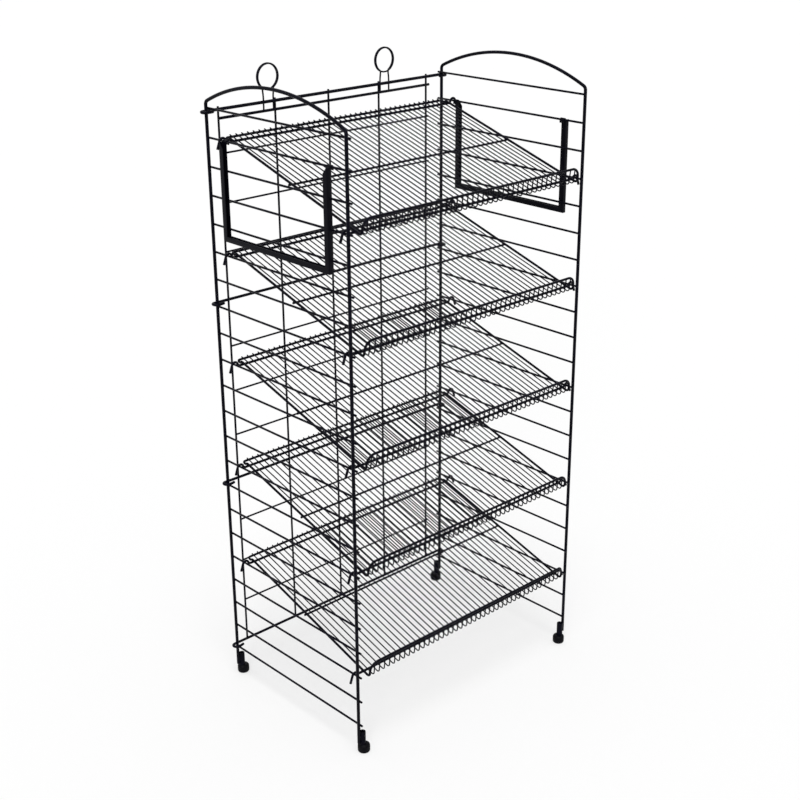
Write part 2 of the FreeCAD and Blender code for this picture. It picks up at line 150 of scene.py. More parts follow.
class Shade:
    """An output of a shader node.  Arithmetic on it adds Math nodes, and node() any other."""

    def __init__(self, tree, output=None):
        self.tree = tree
        self.output = output

    def node(self, kind, settings, sockets, output=0):
        """Adds a node: its settings first, then its sockets, each from a value or a Shade."""
        made = self.tree.nodes.new(kind)
        for name, value in settings.items():
            setattr(made, name, value)
        for name, value in sockets.items():
            if isinstance(value, Shade):
                self.tree.links.new(value.output, made.inputs[name])
            else:
                made.inputs[name].default_value = value
        return Shade(self.tree, made.outputs[output] if made.outputs else None)

    def maths(self, operation, first, second):
        return self.node("ShaderNodeMath", {"operation": operation}, {0: first, 1: second})

    def __add__(self, other):
        return self.maths("ADD", self, other)

    def __sub__(self, other):
        return self.maths("SUBTRACT", self, other)

    def __rsub__(self, other):
        return self.maths("SUBTRACT", other, self)

    def __mul__(self, other):
        return self.maths("MULTIPLY", self, other)

    __radd__ = __add__
    __rmul__ = __mul__

    def noise(self, scale, detail):
        """Noise from 0 to 1, with so many lumps to the metre of this vector."""
        return self.node("ShaderNodeTexNoise", {}, {"Vector": self, "Scale": scale, "Detail": detail})

    def between(self, low, high):
        """Rises smoothly from 0 at the low value to 1 at the high one."""
        return self.node("ShaderNodeMapRange", {"interpolation_type": "SMOOTHSTEP"},
                         {"Value": self, "From Min": low, "From Max": high})

    def tint(self, first, second):
        """The first colour where this is 0 and the second where it is 1."""
        return self.node("ShaderNodeMix", {"data_type": "RGBA"},
                         {0: self, MIX_FIRST: first, MIX_SECOND: second}, MIX_COLOUR)


def empty_material(name):
    """A material with no nodes yet but the one that gives object coordinates, in metres."""
    material = bpy.data.materials.new(name)
    material.use_nodes = True
    material.node_tree.nodes.clear()
    return material, Shade(material.node_tree).node("ShaderNodeTexCoord", {}, {}, "Object")


def finish_material(place, sockets, height, depth):
    """Ends a material with its Principled shader, bumped by a height from 0 to 1 of this depth."""
    normal = place.node("ShaderNodeBump", {}, {"Height": height, "Distance": depth})
    shader = place.node("ShaderNodeBsdfPrincipled", {}, {**sockets, "Normal": normal})
    place.node("ShaderNodeOutputMaterial", {}, {"Surface": shader})


def black_coat():
    """Baked black enamel on wire: a faint orange peel, thin cloudy patches, specks of dust, and upward
    faces painted paler, partly as settled dust and partly as a painted highlight.
    """
    material, place = empty_material("baked_black_coat")
    cloud = place.noise(scale=26, detail=3).between(0.35, 0.7)
    peel = place.noise(scale=620, detail=2)
    specks = place.noise(scale=3400, detail=1).between(0.66, 0.76)
    facing = place.node("ShaderNodeNewGeometry", {}, {}, "Normal")
    upward = place.node("ShaderNodeSeparateXYZ", {}, {0: facing}, "Z").between(0.55, 1.0)
    # Upward faces are painted paler in patches: partly settled dust, partly a painted highlight from
    # the light above.
    dust_and_top_highlight = upward * place.noise(scale=90, detail=4).between(0.42, 0.72)
    coat = cloud.tint(COAT_BLACK, COAT_CLOUD)
    dust_and_highlight_tint = (dust_and_top_highlight * 0.05 + specks * 0.04).tint((0, 0, 0, 1), DUST_AND_HIGHLIGHT_GREY)
    colour = place.node("ShaderNodeMix", {"data_type": "RGBA", "blend_type": "ADD"},
                        {0: 1.0, MIX_FIRST: coat, MIX_SECOND: dust_and_highlight_tint}, MIX_COLOUR)
    finish_material(place, {"Base Color": colour, "Roughness": 0.24 + cloud * 0.1 + dust_and_top_highlight * 0.2,
                            "Specular IOR Level": COAT_SPECULAR},
                    peel + specks * 0.3, COAT_PEEL_DEPTH)
    return material


BLACK_COAT = black_coat()


def piece(name, surface, material, slot, body, *nodes):
    """Makes a surface one object, smooth but for its sharp edges, on a body, for these nodes."""
    corners, faces = surface
    mesh = bpy.data.meshes.new(name)
    mesh.from_pydata(corners.tolist(), [], [face for block in faces for face in block.tolist()])
    mesh.shade_smooth()
    mesh.set_sharp_from_angle(angle=SHARP_EDGE)
    mesh.materials.append(material)
    made = bpy.data.objects.new(name, mesh)
    bpy.context.scene.collection.objects.link(made)
    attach(made, body)
    if nodes:
        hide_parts(*nodes)


def coated(node, surface, body):
    """A wire piece that stands for the CAD node of the same name."""
    piece(node + "_coated", surface, BLACK_COAT, "coated_wire", body, node)


frame_low, frame_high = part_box("right_frame_rod")
half_spacing = (frame_low.x + frame_high.x) / 2
half_depth = (frame_high.y - frame_low.y - UPRIGHT_ROD) / 2


def frame_rod():
    """The right side frame's rod: up, over a small corner, the flat bow, a corner, and down."""
    bow_radius = (half_depth ** 2 + ARCH_RISE ** 2) / (2 * ARCH_RISE)
    bow_centre = frame_high.z - UPRIGHT_ROD / 2 - bow_radius
    corner_path = bow_radius - ARCH_CORNER_RADIUS
    corner_angle = math.acos((half_depth - ARCH_CORNER_RADIUS) / corner_path)
    straight = bow_centre + corner_path * math.sin(corner_angle) - frame_low.z
    corner_turn = math.degrees(corner_angle)
    wire = BentWire((half_spacing, -half_depth, frame_low.z), UP)
    wire.feed(straight).bend(ARCH_CORNER_RADIUS, -corner_turn, ACROSS)
    wire.bend(bow_radius, 2 * corner_turn - 180, ACROSS)
    wire.bend(ARCH_CORNER_RADIUS, -corner_turn, ACROSS).feed(straight)
    return rod(wire.line(), UPRIGHT_ROD)


coated("right_frame_rod", frame_rod(), "rack_frame")
coated("left_frame_rod", mirrored(frame_rod()), "rack_frame")

# ==============================================================================================
# RUNGS
# Twenty-two straight wires on the inner face of each pair of uprights, sheared to length and
# resistance-welded.  Each weld squeezes out a little lens of steel, which the coat smooths over.
# ==============================================================================================

RUNG_ROD = 0.0042
RUNG_COUNT = 22
RUNG_PITCH = 0.054
WELD_SINK = 0.0003             # how far a welded wire melts into the one it crosses
WELD_SIDES = 8
WELD_TIERS = np.radians([-50, -10, 30, 65])     # the angles u of a lens of weld's rings
RUNG_WELD = (0.0026, 0.0021, 0.0011)            # half its size along the rung, up and through

rungs_low, rungs_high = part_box("right_rungs")
rung_place = (rungs_low.x + rungs_high.x) / 2
middle_rung = (rungs_low.z + rungs_high.z) / 2
top_rung = middle_rung + RUNG_PITCH * (RUNG_COUNT - 1) / 2


def rung_level(number):
    """Height of a rung's centre line, counted from 1 at the top."""
    return top_rung - (number - 1) * RUNG_PITCH


def copies(surface, shifts):
    """The same surface once at each shift."""
    corners, faces = surface
    shifts = np.array(shifts, float)
    starts = len(corners) * np.arange(len(shifts))[:, None, None]
    moved = (corners[None] + shifts[:, None]).reshape(-1, 3)
    return moved, [(block[None] + starts).reshape(-1, block.shape[1]) for block in faces]


def joined(*surfaces):
    """Several surfaces as one, each with its own corners."""
    starts = np.cumsum([0] + [len(corners) for corners, _ in surfaces])
    faces = [block + start for (_, blocks), start in zip(surfaces, starts) for block in blocks]
    return np.concatenate([corners for corners, _ in surfaces]), faces


def weld(along, across, halves):
    """A lens of weld metal round the origin: (a cos u cos v, b cos u sin v, c sin u) along the
    two wires and square to them, with rings at chosen u and a small flat at each pole."""
    long_half, wide_half, high_half = halves
    u = WELD_TIERS[:, None, None]
    v = (2 * math.pi * np.arange(WELD_SIDES) / WELD_SIDES)[None, :, None]
    corners = (long_half * np.cos(u) * np.cos(v) * along + wide_half * np.cos(u) * np.sin(v) * across
               + high_half * np.sin(u) * np.cross(along, across))
    caps = [np.arange(WELD_SIDES)[None, ::-1], (len(u) - 1) * WELD_SIDES + np.arange(WELD_SIDES)[None]]
    sides = tube_faces(len(u), WELD_SIDES, False)[:, ::-1]
    return corners.reshape(-1, 3), [sides, *caps]


def rungs():
    """The right side frame's rungs, from front to rear."""
    rung = rod(np.array([[rung_place, rungs_low.y, top_rung], [rung_place, rungs_high.y, top_rung]]),
               RUNG_ROD)
    return copies(rung, [(0, 0, -RUNG_PITCH * number) for number in range(RUNG_COUNT)])


def rung_welds():
    """A lens of weld at each rung's crossing with the front and the rear upright."""
    lens = weld(REARWARD, UP, RUNG_WELD)
    place = half_spacing - UPRIGHT_ROD / 2
    return copies(lens, [(place, side * half_depth, rung_level(number))
                         for side in (-1, 1) for number in range(1, RUNG_COUNT + 1)])


coated("right_rungs", rungs(), "rack_frame")
coated("left_rungs", mirrored(rungs()), "rack_frame")

# ==============================================================================================
# SOCKET TUBES
# A short length of tube stands beside the lower end of each upright, tacked to it with a seam
# down either side, and carries the foot.  It is sawn square, and the edge of its rim is a little
# rounded.
# ==============================================================================================

TUBE_WALL = 0.0015
TUBE_RIM_ROUND = 0.0004
TUBE_SEAM = (0.0065, 0.0013, 0.0017)    # half its size up, front to rear and through
TUBE_SEAM_OFFSET = 0.0021
TUBE_SEAM_LEVEL = 0.035
TURNED_SIDES = 40


def turned(profile, centre, closed=False):
    """A profile of radii and heights turned about an upright axis: (r cos a, r sin a, z)."""
    profile = np.array(profile)
    a = (2 * math.pi * np.arange(TURNED_SIDES) / TURNED_SIDES)[None, :]
    radius, level = profile[:, :1], profile[:, 1:] + 0 * a
    corners = np.stack([radius * np.cos(a), radius * np.sin(a), level], axis=-1) + np.array(centre)
    faces = [tube_faces(len(profile), TURNED_SIDES, closed)[:, ::-1]]
    return corners.reshape(-1, 3), faces


def quarter(radius, centre_radius, centre_level, start, stop, count=5):
    """A fillet of a profile: points on an arc about a centre, from one angle to another."""
    t = np.radians(np.linspace(start, stop, count))
    return np.stack([centre_radius + radius * np.cos(t), centre_level + radius * np.sin(t)], axis=-1)


def socket_tube(low, high):
    """Outer wall, rounded rim and bore of a tube that fills the box from low to high."""
    outside = (high.x - low.x) / 2
    bore = outside - TUBE_WALL
    rim = high.z - TUBE_RIM_ROUND
    profile = np.concatenate([
        [[outside, low.z]],
        quarter(TUBE_RIM_ROUND, outside - TUBE_RIM_ROUND, rim, 0, 90),
        quarter(TUBE_RIM_ROUND, bore + TUBE_RIM_ROUND, rim, 90, 180),
        [[bore, low.z]]])
    return turned(profile, ((low.x + high.x) / 2, (low.y + high.y) / 2, 0), closed=True)


def tube_seams():
    """The two seams of weld between the right tubes and their uprights, front and rear."""
    seam = weld(UP, REARWARD, TUBE_SEAM)
    place = half_spacing - UPRIGHT_ROD / 2
    return copies(seam, [(place, side * half_depth + offset, TUBE_SEAM_LEVEL)
                         for side in (-1, 1) for offset in (-TUBE_SEAM_OFFSET, TUBE_SEAM_OFFSET)])


for corner in ("front_left", "front_right", "rear_left", "rear_right"):
    node = corner + "_socket_tube"
    coated(node, socket_tube(*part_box(node)), "rack_frame")

frame_welds = joined(rung_welds(), tube_seams())
piece("right_frame_welds", frame_welds, BLACK_COAT, "coated_wire", "rack_frame")
piece("left_frame_welds", mirrored(frame_welds), BLACK_COAT, "coated_wire", "rack_frame")

# ==============================================================================================
# RUBBER FEET
# A moulded black rubber foot is pressed on each tube, well off its middle.  It has a round
# shoulder, a fine parting line left by the mould, and a heel that is rubbed grey by the floor.
# ==============================================================================================

FOOT_SHOULDER_RADIUS = 0.0045
FOOT_HEEL_RADIUS = 0.004
FOOT_FLOOR = 0.004             # rubber under the end of the tube
FOOT_GRIP = 0.0001             # the socket is this much tighter than its tube, all round
FOOT_TOP_RINGS = 13
FOOT_WALL_TOP = 0.003          # first ring of the upright wall, below the shoulder
FOOT_LIP = 0.0005              # the rubber swells this high round the tube
FOOT_LIP_PLACE = 0.13          # middle of that swelling, as a share of the way out
FOOT_LIP_WIDTH = 0.1
PARTING_LINE = (0.0088, 0.00018, 0.0006)    # its level, height and half width
RUBBER_BLACK = (0.0012, 0.0013, 0.0026, 1)
RUBBER_GREY = (0.0062, 0.0062, 0.0078, 1)
SCUFF_LEVELS = (0.0005, 0.007)      # the scuffs fade out between these heights
RUBBER_SPECULAR = 0.07
RUBBER_GRAIN_DEPTH = 0.00004


def foot_rubber():
    """Dull moulded rubber, finely grained, with a greyish bloom and a scuffed heel."""
    material, place = empty_material("foot_rubber")
    level = place.node("ShaderNodeSeparateXYZ", {}, {0: place}, "Z")
    bloom = place.noise(scale=160, detail=4).between(0.3, 0.75)
    grain = place.noise(scale=2600, detail=3)
    scuff = (1 - level.between(*SCUFF_LEVELS)) * place.noise(scale=420, detail=4).between(0.35, 0.65)
    colour = (bloom * 0.35 + scuff * 0.65).tint(RUBBER_BLACK, RUBBER_GREY)
    finish_material(place, {"Base Color": colour, "Roughness": 0.46 + bloom * 0.12 + scuff * 0.2,
                            "Specular IOR Level": RUBBER_SPECULAR},
                    grain, RUBBER_GRAIN_DEPTH)
    return material


FOOT_RUBBER = foot_rubber()


def rubber_foot(low, high, tube_low, tube_high):
    """A foot with an off-centre socket.  Its rings pass from a circle about the tube to one about
    the foot, and every top corner lies at the height of a rounded disc at its distance d from
    the foot's axis: h up to the flat's edge, then h - s + sqrt(s^2 - (d - edge)^2).  A bell curve
    round the tube is added for the lip, and the wall stands out in a ridge at the parting line."""
    radius = (high.x - low.x) / 2
    foot_axis = np.array([(low.x + high.x) / 2, (low.y + high.y) / 2])
    tube_axis = np.array([(tube_low.x + tube_high.x) / 2, (tube_low.y + tube_high.y) / 2])
    tube_radius = (tube_high.x - tube_low.x) / 2 - FOOT_GRIP
    a = (2 * math.pi * np.arange(TURNED_SIDES) / TURNED_SIDES)[None, :, None]
    around = np.concatenate([np.cos(a), np.sin(a)], axis=-1)
    spread = np.sin(np.linspace(0, math.pi / 2, FOOT_TOP_RINGS))[:, None, None]
    rim = tube_radius + (radius - tube_radius) * spread
    flat = tube_axis + (foot_axis - tube_axis) * spread + rim * around
    edge = radius - FOOT_SHOULDER_RADIUS
    beyond = np.clip(np.linalg.norm(flat - foot_axis, axis=-1) - edge, 0, FOOT_SHOULDER_RADIUS)
    level = high.z - FOOT_SHOULDER_RADIUS + np.sqrt(FOOT_SHOULDER_RADIUS ** 2 - beyond ** 2)
    level = level + FOOT_LIP * np.exp(-((spread[..., 0] - FOOT_LIP_PLACE) / FOOT_LIP_WIDTH) ** 2)
    top = np.concatenate([flat, level[..., None]], axis=-1)
    socket_floor = top[:1] * (1, 1, 0) + (0, 0, FOOT_FLOOR)

    line_level, line_height, line_half = PARTING_LINE
    side_levels = np.array([high.z - FOOT_SHOULDER_RADIUS - FOOT_WALL_TOP,
                            line_level + 2 * line_half, line_level + line_half, line_level,
                            line_level - line_half, line_level - 2 * line_half])
    side_radii = radius + line_height * np.maximum(0, 1 - np.abs(side_levels - line_level) / line_half)
    heel = quarter(FOOT_HEEL_RADIUS, radius - FOOT_HEEL_RADIUS, low.z + FOOT_HEEL_RADIUS, 0, -90)
    outline = np.concatenate([np.stack([side_radii, side_levels], axis=-1), heel])
    ring = foot_axis + outline[:, :1, None] * around
    side = np.concatenate([ring, outline[:, 1:, None] + 0 * a], axis=-1)
    corners = np.concatenate([socket_floor, top, side]).reshape(-1, 3)
    rings = len(corners) // TURNED_SIDES
    floor_cap = np.arange(TURNED_SIDES)[None]
    ground_cap = len(corners) - 1 - np.arange(TURNED_SIDES)[None]
    return corners, [tube_faces(rings, TURNED_SIDES, False), floor_cap, ground_cap]


for corner in ("front_left", "front_right", "rear_left", "rear_right"):
    node = corner + "_rubber_foot"
    surface = rubber_foot(*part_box(node), *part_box(corner + "_socket_tube"))
    piece(node + "_moulded", surface, FOOT_RUBBER, "foot_rubber", "rack_frame", node)

# ==============================================================================================
# BACK PANEL
# Four bars across the back have their ends bent round the rear uprights as hooks.  A sign rail,
# nine thin wires and five upright wires are welded to them, and make them one grid.
# ==============================================================================================

TOP_BAR_ROD = 0.0063
HOOK_BAR_ROD = 0.0056
BAR_HOOK_OVERRUN = 0.0018      # bend centre outside the upright's centre line
HOOK_RETURN_STRAIGHT = 0.0038
HOOK_TIP_RADIUS = 0.03
HOOK_TIP_ANGLE = 19.0
SIGN_RAIL_ROD = 0.0056
CROSS_WIRE_ROD = 0.0037
CROSS_WIRE_PITCH = 0.094
UPRIGHT_WIRE_ROD = 0.0042
UPRIGHT_WIRE_COUNT = 5
BAR_TO_UPRIGHT_GAP = 0.00015
BACK_WELD_REACH = 0.0024       # half the size of a lens of weld, along the bar
BACK_WELD_SHARE = 0.55         # the same, up, as a share of the bar's diameter
BACK_WELD_DEPTH = 0.001        # and through

back_plane = half_depth + UPRIGHT_ROD / 2 + BAR_TO_UPRIGHT_GAP + TOP_BAR_ROD
wires_low, wires_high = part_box("back_upright_wires")
upright_wire_reach = (wires_high.x - wires_low.x - UPRIGHT_WIRE_ROD) / 2
upright_wire_places = np.linspace(-upright_wire_reach, upright_wire_reach, UPRIGHT_WIRE_COUNT)
upright_wire_plane = (wires_low.y + wires_high.y) / 2


def whole(half_line):
    """A centre line from its half, which starts in the middle plane, and that half's mirror."""
    return np.concatenate([half_line[:0:-1] * (-1, 1, 1), half_line])


def hook_bar(level, diameter):
    """A bar that runs behind the uprights, turns back round them, and flares a little inward."""
    place = back_plane - diameter / 2
    wire = BentWire((0, place, level), ACROSS).feed(half_spacing + BAR_HOOK_OVERRUN)
    wire.bend(place - half_depth, -180, UP).feed(HOOK_RETURN_STRAIGHT)
    wire.bend(HOOK_TIP_RADIUS, -HOOK_TIP_ANGLE, UP)
    return rod(whole(wire.line()), diameter)


def cross_rod(level, diameter, reach):
    """A straight rod behind the uprights, as far as the reach to either side."""
    place = back_plane - diameter / 2
    return rod(np.array([[-reach, place, level], [reach, place, level]]), diameter)


def middle_level(node):
    low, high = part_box(node)
    return (low.z + high.z) / 2


def back_welds(levels, diameter):
    """A lens at each upright wire's crossing with the bars or wires at these levels."""
    lens = weld(ACROSS, UP, (BACK_WELD_REACH, diameter * BACK_WELD_SHARE, BACK_WELD_DEPTH))
    return copies(lens, [(place, back_plane, level)
                         for place in upright_wire_places for level in levels])


bar_levels = [middle_level("back_hook_bar_" + str(number)) for number in (1, 2, 3, 4)]
for number, level in enumerate(bar_levels, start=1):
    diameter = TOP_BAR_ROD if number == 1 else HOOK_BAR_ROD
    coated("back_hook_bar_" + str(number), hook_bar(level, diameter), "rack_frame")

rail_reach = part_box("back_sign_rail")[1].x
rail_level = middle_level("back_sign_rail")
coated("back_sign_rail", cross_rod(rail_level, SIGN_RAIL_ROD, rail_reach), "rack_frame")

cross_levels = [level + step * CROSS_WIRE_PITCH for level in bar_levels[1:] for step in (1, 2, 3)]
cross_wire = cross_rod(0, CROSS_WIRE_ROD, rail_reach)
coated("back_cross_wires", copies(cross_wire, [(0, 0, level) for level in cross_levels]), "rack_frame")

upright_wire = rod(np.array([[0, upright_wire_plane, wires_high.z],
                             [0, upright_wire_plane, wires_low.z]]), UPRIGHT_WIRE_ROD)
coated("back_upright_wires", copies(upright_wire, [(place, 0, 0) for place in upright_wire_places]),
       "rack_frame")
piece("back_panel_welds",
      joined(back_welds(bar_levels[:1], TOP_BAR_ROD), back_welds([rail_level], SIGN_RAIL_ROD),
             back_welds(bar_levels[1:], HOOK_BAR_ROD), back_welds(cross_levels, CROSS_WIRE_ROD)),
      BLACK_COAT, "coated_wire", "rack_frame")

# ==============================================================================================
# SIGN RINGS
# Each ring is a stiff wire wound twice round, as a key ring is, so that a card can be pinched
# between its turns.  Its two ends run down as legs, welded behind the top bar and the rail.
# ==============================================================================================

RING_WIRE = 0.0033
RING_OUTER_DIAMETER = 0.051
RING_LEG_SPACING = 0.0234
RING_LEG_BEND = 0.004
RING_LEG_RETURN = 0.016        # below the turns, each leg comes back in line over this length
RING_LEG_FEEDS = 8

ring_low, ring_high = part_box("right_sign_ring")
ring_middle = (ring_low.x + ring_high.x) / 2
leg_plane = (ring_low.y + ring_high.y) / 2
ring_turn = (RING_OUTER_DIAMETER - RING_WIRE) / 2
ring_centre = ring_high.z - RING_OUTER_DIAMETER / 2


def swell(share):
    """The smooth step 3 s^2 - 2 s^3 of a share that is held between 0 and 1."""
    share = np.clip(share, 0, 1)
    return share * share * (3 - 2 * share)


def sign_ring():
    """Leg, first turn, a crossing behind the first leg, second turn and leg, bent in one plane.
    The first turn then lies half a wire before that plane and the second one half a wire behind
    it, with the smooth step of the angle between them, and of the height along each leg."""
    half = RING_LEG_SPACING / 2
    reach = ring_turn + RING_LEG_BEND
    bend_level = -math.sqrt(reach ** 2 - (half + RING_LEG_BEND) ** 2)
    leave = math.degrees(math.atan2(half + RING_LEG_BEND, -bend_level))
    leg = ring_centre + bend_level - ring_low.z
    wire = BentWire((ring_middle - half, leg_plane, ring_low.z), UP).feed(leg - RING_LEG_RETURN)
    for _ in range(RING_LEG_FEEDS):
        wire.feed(RING_LEG_RETURN / RING_LEG_FEEDS)
    wire.bend(RING_LEG_BEND, leave - 90, REARWARD)
    wire.bend(ring_turn, 720 - 2 * leave, REARWARD)
    wire.bend(RING_LEG_BEND, leave - 90, REARWARD)
    for _ in range(RING_LEG_FEEDS):
        wire.feed(RING_LEG_RETURN / RING_LEG_FEEDS)
    line = wire.feed(leg - RING_LEG_RETURN).line()
    angle = np.unwrap(np.arctan2(line[:, 0] - ring_middle, line[:, 2] - ring_centre))
    first_round = angle[0] + math.radians(360)
    crossing = swell((angle - first_round) / math.radians(2 * leave) + 0.5)
    down = (ring_centre + bend_level - line[:, 2]) / RING_LEG_RETURN
    line[:, 1] += (RING_WIRE - WELD_SINK) * (crossing - 0.5) * (1 - swell(down))
    return rod(line, RING_WIRE)


ring = sign_ring()
coated("right_sign_ring", ring, "rack_frame")
coated("left_sign_ring", mirrored(ring), "rack_frame")

# ==============================================================================================
# SHELVES
# Five like trays of wire.  Forty-one thin wires lie on two hook rods and a rod midway, and turn up
# in front under the rim, a thicker wire bent to a closed loop round the deck and its lip.
# ==============================================================================================

SHELF_COUNT = 5
RUNGS_PER_SHELF = 4
REAR_RUNG = 2
FRONT_RUNG = 4
HOOK_ROD = 0.005
HOOK_CROWN_RADIUS = 0.007
HOOK_NECK_RADIUS = 0.0066
HOOK_REST_GAP = 0.0003
HOOK_TAIL_SPLAY = 20.0
HOOK_TAIL_LENGTH = 0.016
REAR_HOOK_DROP = 0.0042        # rod under the deck, below its rung
FRONT_HOOK_DROP = 0.001
RIM_ROD = 0.0048
RIM_INSET = 0.0233
MID_ROD = 0.0042
MID_ROD_OVERHANG = 0.0006
DECK_WIRE = 0.0025
DECK_WIRE_COUNT = 41
DECK_WIRE_SIDES = 8
DECK_BEND_FLATS = 5
RIM_TO_FIRST_WIRE = 0.011
REAR_ROD_BEHIND_HOOK = 0.0158
REAR_CORNER_RADIUS = 0.005
RIM_STEP_RADIUS = 0.005
RIM_STEP_AFTER_HOOK = 0.001
DECK_WIRE_REAR_STICK = 0.003
LIP_AHEAD_OF_HOOK = 0.0214
LIP_HEIGHT = 0.0292
LIP_LEAN = 7.0
RIM_BEND_RADIUS = 0.006
WIRE_BEND_RADIUS = 0.005
LIP_CORNER_RADIUS = 0.018
# Half the sizes of the lenses of weld: along the first wire, aside from it, and in depth.
DECK_WIRE_WELD = (0.0019, 0.0017, 0.0008)
LIP_WIRE_WELD = (0.0018, 0.0016, 0.0008)
RIM_WELD = (0.003, 0.003, 0.0012)


def middle_place(node):
    low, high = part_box(node)
    return (low.y + high.y) / 2


front_hook_place = middle_place("shelf_1_front_hook_rod")
rear_hook_place = middle_place("shelf_1_rear_hook_rod")
front_level = rung_level(FRONT_RUNG) - FRONT_HOOK_DROP
deck_rise = rung_level(REAR_RUNG) - REAR_HOOK_DROP - front_level
deck_run = rear_hook_place - front_hook_place
slope = math.atan2(deck_rise, deck_run)
hook_spacing = math.hypot(deck_run, deck_rise)
support_top = HOOK_ROD / 2
wire_level = support_top - WELD_SINK + DECK_WIRE / 2
side_level = support_top - WELD_SINK + RIM_ROD / 2
rear_level = support_top - RIM_ROD / 2
rim_reach = half_spacing - RIM_INSET
rear_rod_place = hook_spacing + REAR_ROD_BEHIND_HOOK
lip_turn = 90 + math.degrees(slope) - LIP_LEAN
lip_lean = math.radians(lip_turn - 90)
half_turn = math.tan(math.radians(lip_turn / 2))
wire_places = np.linspace(RIM_TO_FIRST_WIRE - rim_reach, rim_reach - RIM_TO_FIRST_WIRE, DECK_WIRE_COUNT)


def hung(surface):
    """A flat tray's surface turned by the slope about X and lifted to the front hook rod:
    y' = y cos s - z sin s + front, z' = y sin s + z cos s + level."""
    corners, faces = surface
    x, y, z = corners.T
    y, z = y * math.cos(slope) - z * math.sin(slope), y * math.sin(slope) + z * math.cos(slope)
    return np.stack([x, y + front_hook_place, z + front_level], axis=-1), faces


def bend_start(level, radius):
    """Where the bend into the lip begins, on a wire at this level of the flat deck."""
    return level * math.tan(lip_lean) - LIP_AHEAD_OF_HOOK + radius * half_turn


def rim_rod():
    """The rim: rear rod, side rods stepped up over the hook rods, bends and the lip's top rod."""
    step_turn = math.degrees(math.acos(1 - (side_level - rear_level) / (2 * RIM_STEP_RADIUS)))
    step_length = 2 * RIM_STEP_RADIUS * math.sin(math.radians(step_turn))
    step_start = hook_spacing + RIM_STEP_AFTER_HOOK + step_length
    front = bend_start(side_level, RIM_BEND_RADIUS)
    wire = BentWire((0, rear_rod_place, rear_level), ACROSS).feed(rim_reach - REAR_CORNER_RADIUS)
    wire.bend(REAR_CORNER_RADIUS, -90, UP).feed(rear_rod_place - REAR_CORNER_RADIUS - step_start)
    wire.bend(RIM_STEP_RADIUS, -step_turn, ACROSS).bend(RIM_STEP_RADIUS, step_turn, ACROSS)
    wire.feed(step_start - step_length - front).bend(RIM_BEND_RADIUS, -lip_turn, ACROSS)
    wire.feed(LIP_HEIGHT - RIM_BEND_RADIUS * half_turn - LIP_CORNER_RADIUS)
    wire.bend(LIP_CORNER_RADIUS, 90, np.cross(ACROSS, wire.heading))
    wire.feed(rim_reach - LIP_CORNER_RADIUS)
    half = wire.line()
    loop = np.concatenate([half, half[-2:0:-1] * (-1, 1, 1)])
    chords = unit(np.roll(loop, -1, axis=0) - loop)
    tangents = unit(chords + np.roll(chords, 1, axis=0))
    corners = ringed(loop, tangents, RIM_ROD / 2, ROD_SIDES)
    return corners, [tube_faces(len(loop), ROD_SIDES, True)]


def deck_wires():
    """Each wire in one piece: the deck, the bend, and the upright end under the lip's top rod."""
    bend_radius_cut = WIRE_BEND_RADIUS * half_turn
    lip_step = (side_level - wire_level) / math.cos(lip_lean)
    front = bend_start(wire_level, WIRE_BEND_RADIUS)
    rear = rear_rod_place + DECK_WIRE_REAR_STICK
    wire = BentWire((0, rear, wire_level), -REARWARD).feed(rear - front)
    wire.bend(WIRE_BEND_RADIUS, -lip_turn, ACROSS, DECK_BEND_FLATS)
    wire.feed(LIP_HEIGHT + lip_step - bend_radius_cut - RIM_ROD / 2 + WELD_SINK)
    return copies(rod(wire.line(), DECK_WIRE, DECK_WIRE_SIDES),
                  [(place, 0, 0) for place in wire_places])


def mid_rod():
    """The straight rod midway under the deck, which stands out a little beyond the rim."""
    reach = rim_reach + RIM_ROD / 2 + MID_ROD_OVERHANG
    level = support_top - MID_ROD / 2
    return rod(np.array([[-reach, hook_spacing / 2, level], [reach, hook_spacing / 2, level]]), MID_ROD)


def hook_rod(place, rung_height, drop):
    """A rod under the deck, whose ends rise over the rungs and turn down outside them."""
    crown_rise = RUNG_ROD / 2 + HOOK_REST_GAP + HOOK_ROD / 2
    neck = math.degrees(math.acos(1 - (crown_rise + drop) / (HOOK_CROWN_RADIUS + HOOK_NECK_RADIUS)))
    neck_reach = (HOOK_CROWN_RADIUS + HOOK_NECK_RADIUS) * math.sin(math.radians(neck))
    wire = BentWire((0, place, rung_height - drop), ACROSS).feed(rung_place - neck_reach)
    wire.bend(HOOK_NECK_RADIUS, -neck, REARWARD)
    wire.bend(HOOK_CROWN_RADIUS, neck + 90 - HOOK_TAIL_SPLAY, REARWARD).feed(HOOK_TAIL_LENGTH)
    return rod(whole(wire.line()), HOOK_ROD)


def shelf_welds():
    """Lenses where deck wires cross the four rods under them and meet the lip's top rod, and
    larger ones where the rim's side rods lie on the hook rods and over the middle rod."""
    small = weld(REARWARD, ACROSS, DECK_WIRE_WELD)
    level = support_top - WELD_SINK / 2
    deck = [(x, y, level) for x in wire_places
            for y in (0, hook_spacing / 2, hook_spacing, rear_rod_place)]
    lip_up = np.array([0, math.sin(lip_lean), math.cos(lip_lean)])
    lip_foot = np.array([0, -LIP_AHEAD_OF_HOOK + side_level * math.tan(lip_lean), side_level])
    lip_top = lip_foot + (LIP_HEIGHT - RIM_ROD / 2) * lip_up
    collar = weld(ACROSS, np.cross(ACROSS, lip_up), LIP_WIRE_WELD)
    lip = [(x, *lip_top[1:]) for x in wire_places]
    large = weld(REARWARD, ACROSS, RIM_WELD)
    side = [(x, y, level) for x in (-rim_reach, rim_reach) for y in (0, hook_spacing / 2, hook_spacing)]
    return joined(copies(small, deck), copies(large, side), copies(collar, lip))


def lowered(surface, number):
    """Shelf 1's surface at the place of another shelf."""
    corners, faces = surface
    return corners - np.array([0, 0, (number - 1) * RUNGS_PER_SHELF * RUNG_PITCH]), faces


